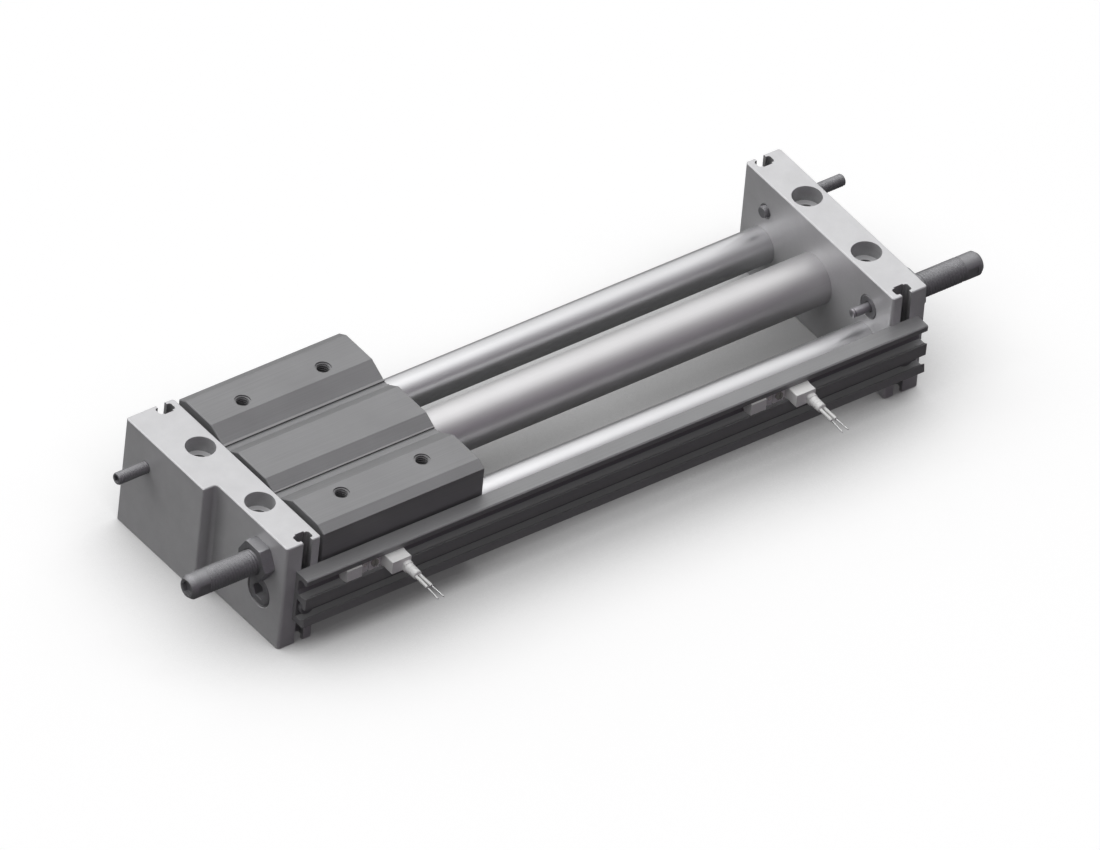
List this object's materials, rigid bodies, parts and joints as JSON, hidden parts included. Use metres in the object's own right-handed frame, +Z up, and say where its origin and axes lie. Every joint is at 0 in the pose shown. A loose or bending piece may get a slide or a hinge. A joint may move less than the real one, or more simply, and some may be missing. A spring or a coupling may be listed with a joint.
{
  "type": "rodless pneumatic cylinder",
  "caption": "Magnetically coupled rodless air cylinder: a slide block on a tube and guide shafts between end plates, with shock absorbers, stop screws and a switch rail.",
  "frame": {"origin": "centre of the four body mounting holes, midway between the end plates and level with their feet", "axes": "+X along the tube towards the plate with the air ports, +Z up, the switch rail on the -Y side"},
  "size_m": [0.2946, 0.102, 0.04],
  "materials": {
    "plate_aluminium": "satin clear anodised",
    "block_aluminium": "grey hard anodised extrusion",
    "rail_aluminium": "grey anodised extrusion",
    "spacer_aluminium": "turned",
    "tube_steel": "fine drawn stainless",
    "shaft_chrome": "hard chrome plated, ground",
    "zinc_steel": "zinc plated",
    "rod_steel": "hard chrome plated",
    "yoke_iron": "zinc plated rolled steel",
    "magnet_nickel": "nickel plated",
    "bushing_bronze": "oil impregnated sintered bronze",
    "seal_rubber": "matt nitrile rubber",
    "wear_plastic": "filled bearing plastic",
    "switch_plastic": "fine textured moulding",
    "wire_plastic": "smooth insulation",
    "indicator_plastic": "clear lens",
    "brass_screw": "zinc plated",
    "copper_strands": "bare tinned strands"
  },
  "bodies": {
    "frame": {"end_plate_a": "plate_aluminium", "end_plate_b": "plate_aluminium", "cylinder_tube": "tube_steel", "guide_shaft_a": "shaft_chrome", "guide_shaft_b": "shaft_chrome", "tube_gaskets": "seal_rubber", "shaft_gaskets": "seal_rubber", "shaft_screws": "zinc_steel", "shaft_set_screws": "zinc_steel", "passage_plug": "zinc_steel", "switch_rail": "rail_aluminium", "rail_screws": "zinc_steel", "rail_nuts": "zinc_steel", "shock_nuts": "zinc_steel", "shock_body_left": "zinc_steel", "shock_body_right": "zinc_steel", "shock_rod_left": "rod_steel"},
    "carriage": {"slide_block": "block_aluminium", "bushings_near": "bushing_bronze", "bushings_far": "bushing_bronze", "outer_yokes": "yoke_iron", "outer_magnets": "magnet_nickel", "end_spacers": "spacer_aluminium", "slide_rings": "wear_plastic", "scrapers": "seal_rubber", "retaining_rings": "zinc_steel", "sense_magnet": "magnet_nickel"},
    "piston": {"piston_shaft": "rod_steel", "inner_yokes": "yoke_iron", "inner_magnets": "magnet_nickel", "pistons": "spacer_aluminium", "piston_seals": "seal_rubber", "piston_guide_rings": "wear_plastic", "piston_nuts": "zinc_steel", "piston_bumpers": "seal_rubber"},
    "shock_rod": {"shock_rod_right": "rod_steel"},
    "stop_left": {"stop_screw_left": "zinc_steel"},
    "stop_right": {"stop_screw_right": "zinc_steel"},
    "switch_left": {"switch_body_left": "switch_plastic", "switch_screw_left": "brass_screw", "switch_indicator_left": "indicator_plastic", "switch_boot_left": "switch_plastic", "switch_wires_left": "wire_plastic", "switch_conductors_left": "copper_strands"},
    "switch_right": {"switch_body_right": "switch_plastic", "switch_screw_right": "brass_screw", "switch_indicator_right": "indicator_plastic", "switch_boot_right": "switch_plastic", "switch_wires_right": "wire_plastic", "switch_conductors_right": "copper_strands"}
  },
  "joints": [
    {"name": "carriage_slide", "type": "slide", "parent": "frame", "child": "carriage", "axis": [1, 0, 0], "range_m": [0, 0.145]},
    {"name": "piston_slide", "type": "slide", "parent": "frame", "child": "piston", "axis": [1, 0, 0], "range_m": [0, 0.145]},
    {"name": "shock_rod_slide", "type": "slide", "parent": "frame", "child": "shock_rod", "axis": [1, 0, 0], "range_m": [0, 0.005], "stiffness_N_per_m": 600, "springref_m": -0.005},
    {"name": "stop_screw_left_adjust", "type": "slide", "parent": "frame", "child": "stop_left", "axis": [1, 0, 0], "range_m": [-0.005, 0]},
    {"name": "stop_screw_right_adjust", "type": "slide", "parent": "frame", "child": "stop_right", "axis": [1, 0, 0], "range_m": [-0.005, 0.005]},
    {"name": "switch_left_adjust", "type": "slide", "parent": "frame", "child": "switch_left", "axis": [1, 0, 0], "range_m": [-0.012, 0.05]},
    {"name": "switch_right_adjust", "type": "slide", "parent": "frame", "child": "switch_right", "axis": [1, 0, 0], "range_m": [-0.05, 0.03]}
  ],
  "couplings": [
    {"joint": "piston_slide", "follows": "carriage_slide", "ratio": 1}
  ]
}
